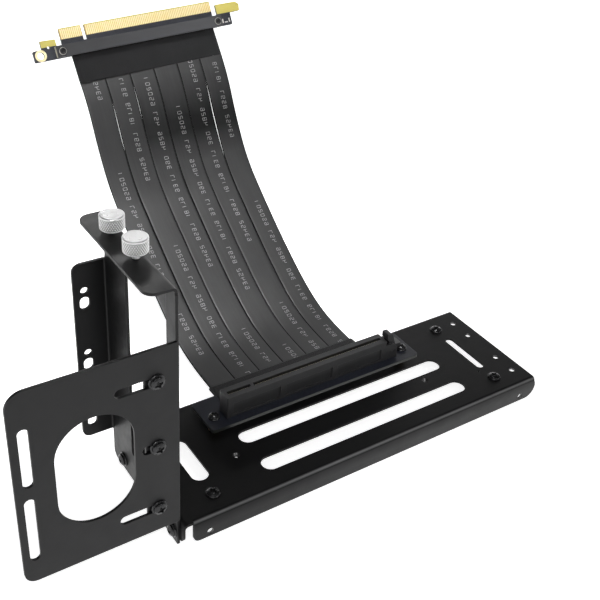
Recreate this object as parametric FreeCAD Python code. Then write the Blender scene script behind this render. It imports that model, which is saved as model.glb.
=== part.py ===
import FreeCAD, Part
import math
import os

V = FreeCAD.Vector
os.makedirs("parts", exist_ok=True)

# Graphics card support bracket with its riser cable, millimetres.
# Working frame: X along the base from the outer face of the upright frame,
# Y from the frame's front edge to the rear, Z up from the surface it stands on.
# Everything is moved by (-OX, -OY, 0) when it is written, so that the row's
# origin is the bottom centre of the bracket without its cable.

T = 1.2            # sheet steel
RO = 2.0           # outer bend radius
RI = RO - T

# base channel
BX0, BX1 = 1.2, 198.2
BY0, BY1 = -2.8, 64.2
BH = 11.4
BY_IN0, BY_IN1 = -2.6, 64.0     # width of the end flange and of the flat top beside it
END_RO = 2.6                     # the end fold is a little wider than the side folds
BEND_END = 6.1                   # the side flanges start here, past the relief
EAR_R = 6.0                      # round right ends of the side flanges

# upright frame
FW = 61.4          # web width, front edge to the rear fold's inner corner
FH = 124.4         # top face of the top flange
TOP_X = -10.5      # free edge of the top flange
REAR_X = -13.7     # free edge of the rear flange
REAR_Z0, REAR_Z1 = 15.4, 103.0
TAB_X = -12.4      # free edge of the front tab
TAB_Z0, TAB_Z1 = 16.2, 101.4
WIN_Y0, WIN_Y1, WIN_Z0, WIN_Z1 = 7.3, 42.2, 15.4, 119.0

# case plate
PX0, PX1, PZ0, PZ1 = -61.8, 0.7, 14.4, 102.6
GAP = 0.05         # the plate slides on the tab
PLATE_SCREW_X = -8.2
PLATE_SCREW_Z = (26.6, 57.5, 88.2)

# screws
SHANK = 1.48       # M3 body in a tapped hole of 1.5
HOLE = 1.5
HEAD_R, HEAD_WASHER, HEAD_DOME_R, HEAD_H = 3.3, 0.7, 2.65, 2.2

# case plate and web screws
WEB_SCREW_Y = (3.6, 50.8)
WEB_SCREW_Z = 5.4

# thumbscrews
THUMB_X = -3.0
THUMB_Y = (24.5, 44.8)           # one expansion slot pitch apart
THUMB_LIFT = (2.6, 1.6)          # head's underside above the flange
THUMB_R, THUMB_H = 4.75, 6.0

# riser
RS_X0, RS_X1 = 45.0, 134.2       # socket body, 89.2 long
RS_Y = 43.2                      # its centre line
RB_Z = 17.7                      # top of its board
RB_T = 1.6
RS_H = 11.25
RB_X0, RB_X1, RB_Y0, RB_Y1 = 35.4, 152.2, 35.2, 56.0
RISER_HOLES = (40.3, 147.3)

# ribbons
RIB_X0 = 48.9
RIB_W, RIB_PITCH, RIB_T, RIB_N = 13.3, 13.5, 0.9, 6
# the ribbons' route in Y and Z, from the socket's wrap to the plug's wrap
ROUTE = [(61.5, 16.9), (80.0, 17.2), (102.0, 24.0), (127.0, 39.5), (150.0, 55.5),
         (170.0, 70.5), (184.0, 91.0), (194.5, 111.0), (202.6, 120.0)]
# how far the route's last points rise and come forward from the first ribbon to the last
TWIST_Y, TWIST_Z = -1.7, 5.0

# plug board: its corner at the first contact, its axes along and up the board
PO = V(44.5, 218.0, 140.8)
PU = V(1.0, -0.028, 0.066)
PU.normalize()
PV = V(0.0, 0.45, 0.893)
PV = PV - PU * PV.dot(PU)
PV.normalize()
PN = PU.cross(PV)                # points to the front and up
PB_T = 1.6

OX, OY = 68.73, 30.35


# ---------------------------------------------------------------- helpers

def outline(pts, to3d):
    """A closed wire through corners (a, b, r); r rounds the corner."""
    n = len(pts)
    trim = []
    for i in range(n):
        a = pts[i - 1]
        p = pts[i]
        b = pts[(i + 1) % n]
        r = p[2] if len(p) > 2 else 0.0
        if r <= 0:
            trim.append(((p[0], p[1]), None, (p[0], p[1])))
            continue
        d1 = (a[0] - p[0], a[1] - p[1])
        d2 = (b[0] - p[0], b[1] - p[1])
        l1, l2 = math.hypot(*d1), math.hypot(*d2)
        u1 = (d1[0] / l1, d1[1] / l1)
        u2 = (d2[0] / l2, d2[1] / l2)
        ang = math.acos(max(-1, min(1, u1[0] * u2[0] + u1[1] * u2[1])))
        t = r / math.tan(ang / 2)
        s = (p[0] + u1[0] * t, p[1] + u1[1] * t)
        e = (p[0] + u2[0] * t, p[1] + u2[1] * t)
        bis = (u1[0] + u2[0], u1[1] + u2[1])
        lb = math.hypot(*bis)
        h = r / math.sin(ang / 2)
        c = (p[0] + bis[0] / lb * h, p[1] + bis[1] / lb * h)
        m = (c[0] - bis[0] / lb * r, c[1] - bis[1] / lb * r)
        trim.append((s, m, e))
    edges = []
    for i in range(n):
        s, m, e = trim[i]
        if m is not None:
            edges.append(Part.Arc(to3d(*s), to3d(*m), to3d(*e)).toShape())
        nxt = trim[(i + 1) % n][0]
        if math.hypot(nxt[0] - e[0], nxt[1] - e[1]) > 1e-7:
            edges.append(Part.LineSegment(to3d(*e), to3d(*nxt)).toShape())
    return Part.Wire(edges)


def prism(pts, plane, at, depth):
    """A profile in XY, XZ or YZ at a height, pushed along the third axis."""
    if plane == "XY":
        f, d = (lambda a, b: V(a, b, at)), V(0, 0, depth)
    elif plane == "XZ":
        f, d = (lambda a, b: V(a, at, b)), V(0, depth, 0)
    else:
        f, d = (lambda a, b: V(at, a, b)), V(depth, 0, 0)
    return Part.Face(outline(pts, f)).extrude(d)


def box(x0, x1, y0, y1, z0, z1):
    return Part.makeBox(x1 - x0, y1 - y0, z1 - z0, V(x0, y0, z0))


def cyl(r, h, at, axis):
    return Part.makeCylinder(r, h, at, axis)


def stadium(a0, b0, a1, b1, r, plane, at, depth):
    """A slot with round ends between two centres."""
    d = V(a1 - a0, b1 - b0, 0)
    L = d.Length
    d.normalize()
    n = V(-d.y, d.x, 0)
    c = [(a0 + n.x * r, b0 + n.y * r), (a1 + n.x * r, b1 + n.y * r),
         (a1 - n.x * r, b1 - n.y * r), (a0 - n.x * r, b0 - n.y * r)]
    e1 = (a1 + d.x * r, b1 + d.y * r)
    e0 = (a0 - d.x * r, b0 - d.y * r)
    if plane == "XY":
        f, dv = (lambda a, b: V(a, b, at)), V(0, 0, depth)
    elif plane == "XZ":
        f, dv = (lambda a, b: V(a, at, b)), V(0, depth, 0)
    else:
        f, dv = (lambda a, b: V(at, a, b)), V(depth, 0, 0)
    w = Part.Wire([Part.LineSegment(f(*c[0]), f(*c[1])).toShape(),
                   Part.Arc(f(*c[1]), f(*e1), f(*c[2])).toShape(),
                   Part.LineSegment(f(*c[2]), f(*c[3])).toShape(),
                   Part.Arc(f(*c[3]), f(*e0), f(*c[0])).toShape()])
    return Part.Face(w).extrude(dv)


def fuse(shapes):
    s = shapes[0]
    if len(shapes) > 1:
        s = s.fuse(shapes[1:])
    return s.removeSplitter()


def cut(s, tools):
    return s.cut(tools).removeSplitter() if tools else s


def pan_screw(at, out, length, shank=SHANK, head_r=HEAD_R, dome_r=HEAD_DOME_R, head_h=HEAD_H):
    """Washer-face pan head with a cross recess; 'at' is the seat, 'out' points out of the head."""
    prof = [V(0, 0, -length), V(shank - 0.35, 0, -length), V(shank, 0, -length + 0.4), V(shank, 0, 0),
            V(head_r, 0, 0), V(head_r, 0, HEAD_WASHER * 0.6), V(head_r - 0.25, 0, HEAD_WASHER),
            V(dome_r, 0, HEAD_WASHER)]
    edges = [Part.LineSegment(prof[i], prof[i + 1]).toShape() for i in range(len(prof) - 1)]
    top = V(0, 0, head_h)
    side = V(dome_r, 0, head_h - 0.75)
    edges.append(Part.LineSegment(prof[-1], side).toShape())
    mid = V(dome_r * 0.62, 0, head_h - 0.17)
    edges.append(Part.Arc(side, mid, top).toShape())
    edges.append(Part.LineSegment(top, prof[0]).toShape())
    s = Part.Face(Part.Wire(edges)).revolve(V(0, 0, 0), V(0, 0, 1), 360)
    # cross recess: four tapered arms round a deeper cone
    arm, w, dep = head_r * 0.5, 0.52, 1.0
    cross = [Part.makeCone(0.35, 0.95, dep + 0.35, V(0, 0, head_h - dep - 0.3), V(0, 0, 1))]
    for k in (0, 90):
        pts = [V(-arm, -w * 0.8, 0), V(0, -w, 0), V(arm, -w * 0.8, 0), V(arm, w * 0.8, 0), V(0, w, 0), V(-arm, w * 0.8, 0)]
        b = Part.Face(Part.makePolygon(pts + [pts[0]])).extrude(V(0, 0, dep + 1))
        b.translate(V(0, 0, head_h - dep))
        b.rotate(V(0, 0, 0), V(0, 0, 1), k + 20)
        cross.append(b)
    s = s.cut(cross)
    rot = FreeCAD.Rotation(V(0, 0, 1), V(*out))
    s.Placement = FreeCAD.Placement(V(*at), rot)
    return s


def thumb_screw(at, length):
    """Knurled head as a plain turned form with chamfers; the knurl is a fine texture."""
    r, h = THUMB_R, THUMB_H
    prof = [V(0, 0, -length), V(1.1, 0, -length), V(1.45, 0, -length + 0.5), V(1.45, 0, 0),
            V(r - 0.5, 0, 0), V(r, 0, 0.5), V(r, 0, h - 0.7), V(r - 0.7, 0, h), V(0, 0, h)]
    edges = [Part.LineSegment(prof[i], prof[(i + 1) % len(prof)]).toShape() for i in range(len(prof))]
    s = Part.Face(Part.Wire(edges)).revolve(V(0, 0, 0), V(0, 0, 1), 360)
    s.translate(V(*at))
    return s


def local(p, q, n):
    """A point on the plug board: along, up and out of it."""
    return PO + PU * p + PV * q + PN * n


def plug_prism(pts, n0, n1):
    """A profile on the plug board's plane, from height n0 to n1 above its middle."""
    w = outline(pts, lambda a, b: local(a, b, n0))
    return Part.Face(w).extrude(PN * (n1 - n0))


def plug_box(a0, a1, b0, b1, n0, n1):
    return plug_prism([(a0, b0), (a1, b0), (a1, b1), (a0, b1)], n0, n1)


nodes = {}

# ---------------------------------------------------------------- base plate
# A channel: top, front and rear flanges in one fold, and a short end flange at the frame.
u_prof = [(BY0, 0.0, 0.0), (BY0, BH, RO), (BY1, BH, RO), (BY1, 0.0, 0.0),
          (BY1 - T, 0.0, 0.0), (BY1 - T, BH - T, RI), (BY0 + T, BH - T, RI), (BY0 + T, 0.0, 0.0)]
channel = prism(u_prof, "YZ", BEND_END, BX1 - BEND_END)
l_prof = [(BX0, 1.6, 0.0), (BX0, BH, END_RO), (BEND_END, BH, 0.0), (BEND_END, BH - T, 0.0),
          (BX0 + T, BH - T, END_RO - T), (BX0 + T, 1.6, 0.0)]
end = prism(l_prof, "XZ", BY_IN0, BY_IN1 - BY_IN0)
# its two lower corners are rounded
for y, sy in ((BY_IN0, 1), (BY_IN1, -1)):
    r = 3.4
    b = box(BX0 - 1, BX0 + T + 0.6, min(y, y + sy * r), max(y, y + sy * r), 1.6, 1.6 + r)
    c = cyl(r, T + 3, V(BX0 - 1, y + sy * r, 1.6 + r), V(1, 0, 0))
    end = end.cut(b.cut(c))
base = fuse([channel, end])
# the side flanges' lower left corners are rounded, and their right ends are
# arcs that start at the fold, a little inside the top's edge, and bulge past it
fold_z = BH - RO
ear_x = BX1 - math.sqrt(EAR_R ** 2 - (fold_z - EAR_R) ** 2)
corner_cut, ears = [], []
for y0, y1, f0 in ((BY0 - 1, BY0 + T + 0.8, BY0), (BY1 - T - 0.8, BY1 + 1, BY1 - T)):
    r = 3.0
    b = box(BEND_END, BEND_END + r, y0, y1, 0.0, r)
    corner_cut.append(b.cut(cyl(r, y1 - y0, V(BEND_END + r, y0, r), V(0, 1, 0))))
    b = box(ear_x, BX1 + 2, y0, y1, 0.0, EAR_R)
    corner_cut.append(b.cut(cyl(EAR_R, y1 - y0, V(ear_x, y0, EAR_R), V(0, 1, 0))))
    ears.append(cyl(EAR_R, T, V(ear_x, f0, EAR_R), V(0, 1, 0)).common(
        box(ear_x, ear_x + EAR_R + 1, f0, f0 + T, 0.0, fold_z)))
base = cut(base, corner_cut)
base = fuse([base] + ears)
z_lo, z_d = BH - T - 3, T + 6
holes = [
    stadium(51.05, 11.6, 158.1, 11.6, 4.3, "XY", z_lo, z_d),
    stadium(51.05, 31.1, 158.1, 31.1, 4.3, "XY", z_lo, z_d),
    stadium(21.05, 20.75, 21.05, 40.65, 3.95, "XY", z_lo, z_d),
    stadium(180.1, 19.0, 180.1, 42.4, 2.1, "XY", z_lo, z_d),
    cyl(0.6, z_d, V(176.1, 15.2, z_lo), V(0, 0, 1)),
]
for x, y in ((192.2, 7.9), (192.2, 19.9), (192.2, 53.5), (192.2, 41.5)):
    holes.append(cyl(HOLE, z_d, V(x, y, z_lo), V(0, 0, 1)))
# openings for the lower tongues of the card's slot cover, through the fold
for y in (17.5, 37.8):
    holes.append(box(BX0 - 0.5, BX0 + 3.2, y - 5.75, y + 5.75, 3.4, BH + 1))
base = cut(base, holes)
# pulled collars of the tapped holes
BASE_SCREWS = [(20.5, 8.0), (180.0, 8.0), (20.5, 53.4), (180.0, 53.4)]
TAPPED = BASE_SCREWS + [(40.3, 22.9), (147.3, 22.9), (40.3, RS_Y), (147.3, RS_Y)]
base = fuse([base] + [cyl(2.3, T + 1.3, V(x, y, BH - T - 1.3), V(0, 0, 1)) for x, y in TAPPED])
base = cut(base, [cyl(HOLE, 8, V(x, y, BH - 6), V(0, 0, 1)) for x, y in TAPPED])
# side flange holes near both ends, and the two tapped holes of the end flange
flange = []
for x in (13.7, 189.6):
    flange.append(cyl(HOLE, 3, V(x, BY0 - 1, 2.8), V(0, 1, 0)))
    flange.append(cyl(HOLE, 3, V(x, BY1 - 2, 2.8), V(0, 1, 0)))
for y in WEB_SCREW_Y:
    flange.append(cyl(HOLE, 4, V(BX0 - 1, y, WEB_SCREW_Z), V(1, 0, 0)))
base = cut(base, flange)
nodes["base_plate"] = base

nodes["base_screws"] = Part.makeCompound(
    [pan_screw((x, y, BH), (0, 0, 1), 5.0, dome_r=2.75, head_h=1.6) for x, y in BASE_SCREWS])

# ---------------------------------------------------------------- upright frame
web_pts = [(0.0, 0.0, 0.0), (0.0, FH - 3.0, 0.0), (FW, FH - 3.0, 0.0), (FW, 0.0, 3.6)]
web = prism(web_pts, "YZ", 0.0, T)
top_prof = [(TOP_X, FH, 0.0), (T, FH, RO), (T, FH - 5.0, 0.0), (0.0, FH - 5.0, 0.0),
            (0.0, FH - T, RI), (TOP_X, FH - T, 0.0)]
top = prism(top_prof, "XZ", 0.3, FW - 0.3)
for y, sy in ((0.3, 1), (FW, -1)):
    r = 4.6
    b = box(TOP_X, TOP_X + r, min(y, y + sy * r), max(y, y + sy * r), FH - T - 1, FH + 1)
    c = cyl(r, T + 4, V(TOP_X + r, y + sy * r, FH - T - 2), V(0, 0, 1))
    top = top.cut(b.cut(c))
rear_prof = [(REAR_X, FW, 0.0), (0.0, FW, RI), (0.0, FW - 4.0, 0.0), (T, FW - 4.0, 0.0),
             (T, FW + T, RO), (REAR_X, FW + T, 0.0)]
rear = prism(rear_prof, "XY", REAR_Z0, REAR_Z1 - REAR_Z0)
for z, sz in ((REAR_Z0, 1), (REAR_Z1, -1)):
    r = 3.6
    b = box(REAR_X, REAR_X + r, FW - 1, FW + T + 1, min(z, z + sz * r), max(z, z + sz * r))
    c = cyl(r, T + 4, V(REAR_X + r, FW - 2, z + sz * r), V(0, 1, 0))
    rear = rear.cut(b.cut(c))
tab_prof = [(TAB_X, 0.0, 0.0), (T, 0.0, RO), (T, 5.0, 0.0), (0.0, 5.0, 0.0), (0.0, T, RI), (TAB_X, T, 0.0)]
tab = prism(tab_prof, "XY", TAB_Z0, TAB_Z1 - TAB_Z0)
# the web's front edge is cut back where the tab's fold replaces it
web = web.cut(box(-1, T + 1, -1, RO, TAB_Z0, TAB_Z1))
frame = fuse([web, top, rear, tab])
frame = cut(frame, [prism([(WIN_Y0, WIN_Z0, 1.6), (WIN_Y0, WIN_Z1, 1.6), (WIN_Y1, WIN_Z1, 1.6), (WIN_Y1, WIN_Z0, 1.6)],
                          "YZ", -1.0, T + 2)])
fh = []
for z in (23.8, 54.2, 84.6):
    fh.append(stadium(-9.2, z - 1.0, -9.2, z + 0.7, 2.1, "XZ", FW - 1, T + 2))
    fh.append(cyl(1.6, T + 2, V(-9.1, FW - 1, z + 5.75), V(0, 1, 0)))
for y in THUMB_Y:
    fh.append(cyl(HOLE, T + 2, V(THUMB_X, y, FH - T - 1), V(0, 0, 1)))
for z in PLATE_SCREW_Z:
    fh.append(cyl(HOLE, T + 2, V(PLATE_SCREW_X, -1, z), V(0, 1, 0)))
for y in WEB_SCREW_Y:
    fh.append(cyl(1.6, T + 2, V(-1, y, WEB_SCREW_Z), V(1, 0, 0)))
frame = cut(frame, fh)
nodes["io_frame"] = frame

nodes["frame_screws"] = Part.makeCompound(
    [pan_screw((0.0, y, WEB_SCREW_Z), (-1, 0, 0), 3.2) for y in WEB_SCREW_Y])

# ---------------------------------------------------------------- case plate
plate = prism([(PX0, PZ0, 5.0), (PX0, PZ1, 7.0), (PX1, PZ1, 0.8), (PX1, PZ0, 0.8)], "XZ", -GAP - T, T)
y0, d = -GAP - T - 1, T + 2
pc = [stadium(-32.2, 57.4 - 9.6, -32.2, 57.4 + 9.6, 15.0, "XZ", y0, d),
      stadium(-56.75, 62.4, -56.75, 84.9, 1.95, "XZ", y0, d),
      stadium(-57.15, 26.95, -57.15, 53.2, 1.95, "XZ", y0, d)]
for z, left in zip(PLATE_SCREW_Z, (-22.2, -12.4, -22.2)):
    pc.append(stadium(left, z, -7.7, z, 2.05, "XZ", y0, d))
plate = cut(plate, pc)
nodes["case_plate"] = plate

nodes["case_plate_screws"] = Part.makeCompound(
    [pan_screw((PLATE_SCREW_X, -2 * GAP - T, z), (0, -1, 0), 5.6) for z in PLATE_SCREW_Z])

# ---------------------------------------------------------------- thumbscrews
for name, y, lift in (("thumbscrew_front", THUMB_Y[0], THUMB_LIFT[0]), ("thumbscrew_rear", THUMB_Y[1], THUMB_LIFT[1])):
    nodes[name] = thumb_screw((THUMB_X, y, FH + lift), 8.0)

# ---------------------------------------------------------------- riser socket end
board = prism([(RB_X0, RB_Y0, 1.5), (RB_X1, RB_Y0, 1.5), (RB_X1, RB_Y1, 1.5), (RB_X0, RB_Y1, 1.5)], "XY", RB_Z - RB_T, RB_T)
board = cut(board, [cyl(1.6, 4, V(x, RS_Y, RB_Z - 3), V(0, 0, 1)) for x in RISER_HOLES])
nodes["riser_board"] = board

HW = 3.75
PIV = (138.4, 22.0)      # the latch's pivot in X and Z
sock = box(RS_X0, RS_X1, RS_Y - HW, RS_Y + HW, RB_Z, RB_Z + RS_H)
sock = sock.makeFillet(0.5, [e for e in sock.Edges if abs(e.Vertexes[0].Point.z - e.Vertexes[-1].Point.z) > 1])
# the card edge's groove in two lengths with the key wall between them
SLOT_W = 0.9
g0 = RS_X0 + 1.75
groove = [box(g0, g0 + 12.15, RS_Y - SLOT_W, RS_Y + SLOT_W, RB_Z + 2.6, RB_Z + RS_H + 1),
          box(g0 + 13.65, g0 + 85.75, RS_Y - SLOT_W, RS_Y + SLOT_W, RB_Z + 2.6, RB_Z + RS_H + 1)]
# shallow hollows along both sides
for s in (-1, 1):
    y = RS_Y + s * HW
    for a, b in ((RS_X0 + 3, RS_X0 + 28), (RS_X0 + 31, RS_X0 + 57), (RS_X0 + 60, RS_X1 - 3)):
        groove.append(box(a, b, min(y, y - s * 0.7), max(y, y - s * 0.7), RB_Z + 1.2, RB_Z + 7.6))
sock = cut(sock, groove)
# cheeks that carry the latch
cheek = [(RS_X1 - 1.0, RB_Z, 0.0), (RS_X1 - 1.0, RB_Z + 8.4, 0.0), (RS_X1 + 4.6, RB_Z + 8.4, 1.2), (RS_X1 + 7.2, RB_Z + 5.0, 1.0), (RS_X1 + 7.2, RB_Z, 0.0)]
c1 = prism(cheek, "XZ", RS_Y - HW, 1.3)
c2 = prism(cheek, "XZ", RS_Y + HW - 1.3, 1.3)
sock = fuse([sock, c1, c2])
sock = cut(sock, [cyl(0.85, 2 * HW + 2, V(PIV[0], RS_Y - HW - 1, PIV[1]), V(0, 1, 0))])
nodes["riser_socket"] = sock

# contact springs along the groove's two sides, at a pitch of 1 mm
cs = []
xs = [g0 + 0.9 + i for i in range(11)] + [g0 + 14.3 + i for i in range(71)]
for x in xs:
    for s in (-1, 1):
        ya, yb = sorted((RS_Y + s * (SLOT_W - 0.24), RS_Y + s * SLOT_W))
        cs.append(box(x - 0.3, x + 0.3, ya, yb, RB_Z + 2.9, RB_Z + 9.6))
nodes["riser_contacts"] = Part.makeCompound(cs)

lw = HW - 1.3 - 0.15
latch_pts = [(136.9, 19.4, 0.0), (136.9, 27.0, 0.0), (135.6, 28.6, 0.3), (135.6, 31.4, 0.5), (138.2, 31.4, 0.9),
             (139.9, 27.2, 1.0), (140.9, 24.4, 1.2), (144.6, 24.0, 0.5), (144.6, 22.4, 0.4), (140.8, 21.4, 1.0), (139.8, 19.4, 0.6)]
latch = prism(latch_pts, "XZ", RS_Y - lw, 2 * lw)
latch = fuse([latch, cyl(0.8, 2 * HW - 0.4, V(PIV[0], RS_Y - HW + 0.2, PIV[1]), V(0, 1, 0))])
nodes["riser_latch"] = latch

nodes["riser_spacers"] = Part.makeCompound(
    [cyl(2.5, RB_Z - RB_T - BH, V(x, RS_Y, BH), V(0, 0, 1)).cut(cyl(1.6, 10, V(x, RS_Y, BH - 1), V(0, 0, 1)))
     for x in RISER_HOLES])
nodes["riser_screws"] = Part.makeCompound(
    [pan_screw((x, RS_Y, RB_Z), (0, 0, 1), RB_Z - BH + 2.2, head_r=2.75, dome_r=2.3, head_h=2.0) for x in RISER_HOLES])

# cloth wrap where the ribbons leave the board, over both of its faces
RIB_X1 = RIB_X0 + (RIB_N - 1) * RIB_PITCH + RIB_W
RZ = RB_Z - RB_T / 2
wr = prism([(49.6, RZ - 1.6, 0.5), (49.6, RZ + 1.6, 0.5), (62.5, RZ + 1.2, 0.5), (62.5, RZ - 1.2, 0.5)], "YZ", RIB_X0 - 1.0, RIB_X1 - RIB_X0 + 2.0)
wr = wr.cut(box(RIB_X0 - 2, RIB_X1 + 2, 40, RB_Y1, RB_Z - RB_T, RB_Z))
nodes["riser_wrap"] = wr

# ---------------------------------------------------------------- ribbons

def side(points, off):
    """The route moved sideways by off, as corners with their rounding radii."""
    out = []
    n = len(points)
    for i, (y, z) in enumerate(points):
        if i == 0:
            d = (points[1][0] - y, points[1][1] - z)
        elif i == n - 1:
            d = (y - points[-2][0], z - points[-2][1])
        if i in (0, n - 1):
            L = math.hypot(*d)
            out.append((y - d[1] / L * off, z + d[0] / L * off, 0.0))
            continue
        a, b = points[i - 1], points[i + 1]
        d1 = (y - a[0], z - a[1])
        d2 = (b[0] - y, b[1] - z)
        l1, l2 = math.hypot(*d1), math.hypot(*d2)
        n1 = (-d1[1] / l1, d1[0] / l1)
        n2 = (-d2[1] / l2, d2[0] / l2)
        m = (n1[0] + n2[0], n1[1] + n2[1])
        k = off / (1 + n1[0] * n2[0] + n1[1] * n2[1])
        turn = math.atan2(d1[0] * d2[1] - d1[1] * d2[0], d1[0] * d2[0] + d1[1] * d2[1])
        r = 0.45 * min(l1, l2) / math.tan(abs(turn) / 2)
        # the inner side of the bend has the smaller radius
        r -= off if turn > 0 else -off
        out.append((y + m[0] * k, z + m[1] * k, r))
    return out


def route_for(k):
    """The route of ribbon k: its far end follows the plug's small twist."""
    f = (k / (RIB_N - 1.0)) - 0.5
    n = len(ROUTE)
    pts = []
    for i, (y, z) in enumerate(ROUTE):
        w = max(0.0, (i - 3.0) / (n - 4.0))
        pts.append((y + f * TWIST_Y * w, z + f * TWIST_Z * w))
    return pts


def length_of(points):
    L = 0.0
    n = len(points)
    runs = [math.hypot(points[i + 1][0] - points[i][0], points[i + 1][1] - points[i][1]) for i in range(n - 1)]
    L = sum(runs)
    for i in range(1, n - 1):
        d1 = (points[i][0] - points[i - 1][0], points[i][1] - points[i - 1][1])
        d2 = (points[i + 1][0] - points[i][0], points[i + 1][1] - points[i][1])
        turn = abs(math.atan2(d1[0] * d2[1] - d1[1] * d2[0], d1[0] * d2[0] + d1[1] * d2[1]))
        r = 0.45 * min(runs[i - 1], runs[i]) / math.tan(turn / 2)
        L += r * turn - 2 * r * math.tan(turn / 2)
        radii.append(round(r, 1))
    return L


radii = []
for k in range(RIB_N):
    pts = route_for(k)
    up = side(pts, RIB_T / 2)
    lo = side(pts, -RIB_T / 2)
    prof = up + lo[::-1]
    x0 = RIB_X0 + k * RIB_PITCH
    s = prism(prof, "YZ", x0, RIB_W)
    nodes["ribbon_%d" % (k + 1)] = s
    radii.clear()
    L = length_of(pts)
    print("ribbon", k + 1, "length %.1f" % L, "volume %.1f" % s.Volume, "section x length %.1f" % (L * RIB_T * RIB_W), "radii", radii)

# ---------------------------------------------------------------- plug end
# cloth wrap between the ribbons and the cover bar: a thin slab that follows the ribbons
W0 = V(0, ROUTE[-1][0], ROUTE[-1][1])
wa = local(4.0, -13.5, 0.0)
wb = local(85.4, -13.5, 0.0)
pa = route_for(0)[-1]
pb = route_for(RIB_N - 1)[-1]
qa = V(RIB_X0 - 0.4, pa[0], pa[1])
qb = V(RIB_X1 + 0.4, pb[0], pb[1])
mid = (qa + qb) * 0.5
du = (qb - qa)
du.normalize()
dv = (wa + wb) * 0.5 - mid
dv = dv - du * dv.dot(du)
wl = dv.Length + 0.2
dv.normalize()
dn = du.cross(dv)
hw_ = (qb - qa).Length / 2
wrap_o = mid - dv * 1.0


def wpt(a, b, n):
    return wrap_o + du * a + dv * b + dn * n


wrap_w = Part.Wire([Part.LineSegment(wpt(-hw_, 0, -1.1), wpt(hw_, 0, -1.1)).toShape(),
                    Part.LineSegment(wpt(hw_, 0, -1.1), wpt(hw_, 0, 1.1)).toShape(),
                    Part.LineSegment(wpt(hw_, 0, 1.1), wpt(-hw_, 0, 1.1)).toShape(),
                    Part.LineSegment(wpt(-hw_, 0, 1.1), wpt(-hw_, 0, -1.1)).toShape()])
plug_wrap = Part.Face(wrap_w).extrude(dv * (wl + 1.0))

bp = [(0.0, 0.55, 0.5), (11.65, 0.55, 0.5), (11.65, -7.0, 0.0), (13.5, -7.0, 0.0), (13.5, 0.55, 0.5), (85.15, 0.55, 0.5),
      (85.15, -7.4, 0.0), (88.2, -7.4, 0.6), (88.2, -1.9, 0.4), (100.5, -2.0, 0.5), (102.4, -3.6, 0.4), (101.9, -7.1, 0.3), (96.0, -7.3, 0.4),
      (96.0, -13.7, 0.6), (-15.7, -14.1, 0.6), (-15.7, -8.4, 0.5), (-10.9, -8.0, 0.3), (-10.9, -4.0, 0.3), (-3.0, -4.2, 0.3),
      (-3.0, -8.0, 0.4), (0.0, -8.0, 0.0)]
pboard = plug_prism(bp, -PB_T / 2, PB_T / 2)
pboard = cut(pboard, [Part.makeCylinder(1.75, 6, local(-12.1, -11.1, -3), PN), Part.makeCylinder(0.7, 6, local(-7.3, -7.65, -3), PN)])
nodes["plug_board"] = pboard

ct = []
us = [0.45 + 0.35 + i for i in range(11)] + [13.5 + 0.85 + i for i in range(71)]
for n0, n1 in ((PB_T / 2, PB_T / 2 + 0.1), (-PB_T / 2 - 0.1, -PB_T / 2)):
    for u in us:
        ct.append(plug_box(u - 0.35, u + 0.35, -4.9, 0.1, n0, n1))
nodes["plug_contacts"] = Part.makeCompound(ct)
ring = Part.makeCylinder(2.95, 0.1, local(-12.1, -11.1, PB_T / 2), PN).cut(Part.makeCylinder(1.75, 3, local(-12.1, -11.1, 0), PN))
ring2 = Part.makeCylinder(2.95, 0.1, local(-12.1, -11.1, -PB_T / 2 - 0.1), PN).cut(Part.makeCylinder(1.75, 3, local(-12.1, -11.1, -2), PN))
nodes["plug_eyelet"] = Part.makeCompound([ring, ring2])

# two stiffening bars, one on each face, held by two rivets
bar_f = plug_prism([(-4.4, -13.7, 0.4), (89.2, -13.7, 0.4), (89.2, -7.8, 0.4), (-4.4, -7.8, 0.4)], PB_T / 2 + 0.9, PB_T / 2 + 2.4)
foot = [plug_box(-4.4, 3.0, -13.4, -8.1, PB_T / 2, PB_T / 2 + 0.9), plug_box(85.4, 89.2, -13.4, -8.1, PB_T / 2, PB_T / 2 + 0.9)]
bar_f = fuse([bar_f] + foot)
bar_r = plug_prism([(-4.4, -13.7, 0.4), (89.2, -13.7, 0.4), (89.2, -7.8, 0.4), (-4.4, -7.8, 0.4)], -PB_T / 2 - 2.4, -PB_T / 2 - 0.9)
foot = [plug_box(-4.4, 3.0, -13.4, -8.1, -PB_T / 2 - 0.9, -PB_T / 2), plug_box(85.4, 89.2, -13.4, -8.1, -PB_T / 2 - 0.9, -PB_T / 2)]
bar_r = fuse([bar_r] + foot)
riv_at = ((-1.3, -10.9), (86.6, -10.9))
rivets = []
for a, b in riv_at:
    hole = Part.makeCylinder(1.0, 12, local(a, b, -6), PN)
    bar_f, bar_r = bar_f.cut(hole), bar_r.cut(hole)
    nodes["plug_board"] = nodes["plug_board"].cut(hole)
    r = fuse([Part.makeCylinder(1.0, PB_T + 4.8, local(a, b, -PB_T / 2 - 2.4), PN),
              Part.makeCylinder(1.95, 0.6, local(a, b, PB_T / 2 + 2.4), PN),
              Part.makeCylinder(1.95, 0.6, local(a, b, -PB_T / 2 - 3.0), PN)])
    r = r.cut(Part.makeCylinder(0.85, 0.5, local(a, b, PB_T / 2 + 2.6), PN))
    rivets.append(r)
nodes["plug_cover_front"] = bar_f
nodes["plug_cover_rear"] = bar_r
nodes["plug_rivets"] = Part.makeCompound(rivets)
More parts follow.
